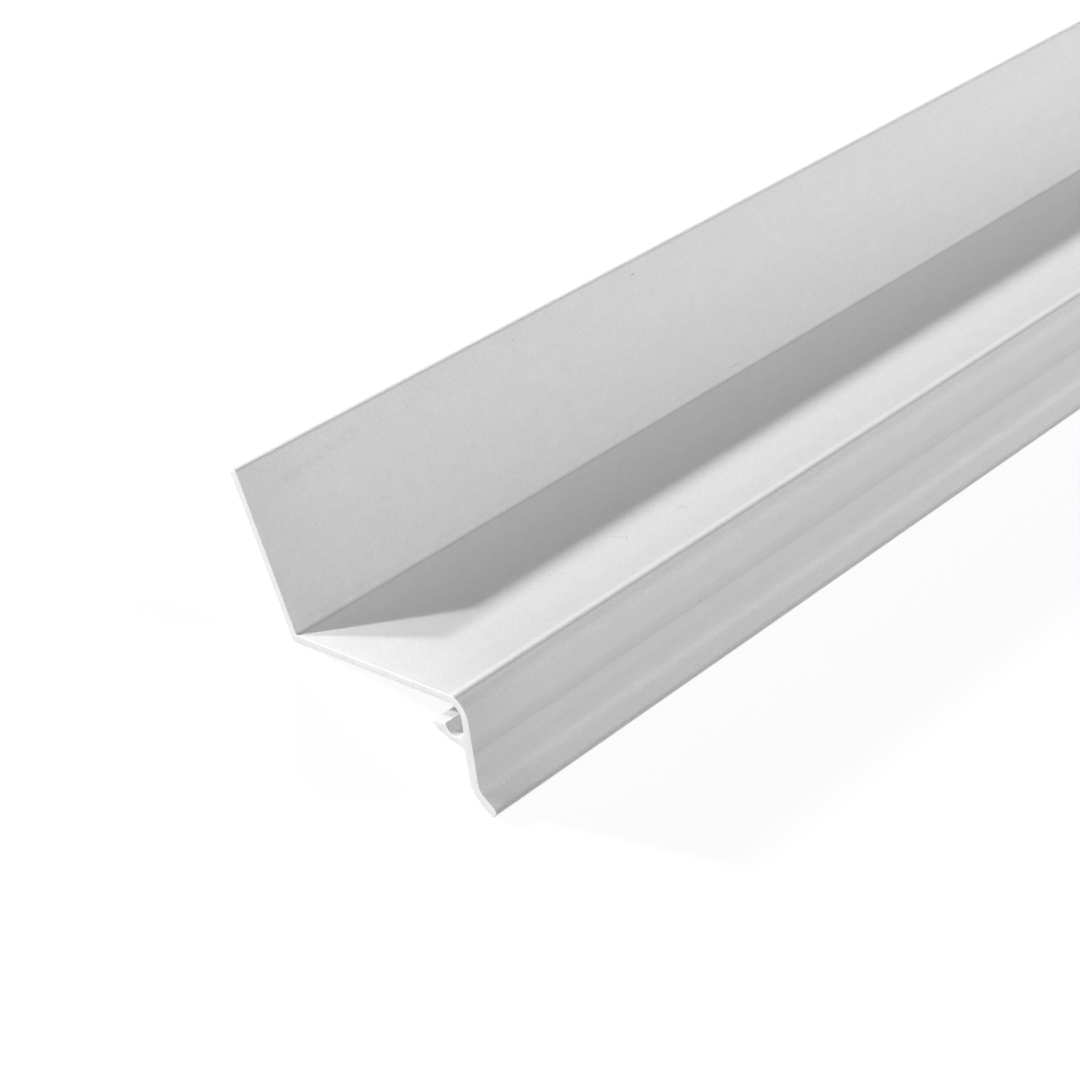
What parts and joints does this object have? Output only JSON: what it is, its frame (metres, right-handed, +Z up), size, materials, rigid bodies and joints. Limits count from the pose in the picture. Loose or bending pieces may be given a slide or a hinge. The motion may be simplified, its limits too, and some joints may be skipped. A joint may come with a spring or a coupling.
{
  "type": "drip edge flashing",
  "caption": "Extruded drip edge flashing: a sloping bed with a raised back leg, a turned-down nose with a kicked-out drip tip, and a clip groove behind the nose.",
  "frame": {"origin": "middle of the length and of the footprint, on the floor that the loose profile rests on", "axes": "+X along the extrusion, away from the sawn end that the picture shows; the nose and its drip kick face -Y and the back leg leans to +Y; +Z up, as the profile lies loose on a level floor"},
  "size_m": [1, 0.0826, 0.0302],
  "materials": {
    "aluminium": "mill finish, extruded, matt with faint die lines"
  },
  "bodies": {
    "root": {"drip_edge_profile": "aluminium"}
  },
  "joints": []
}
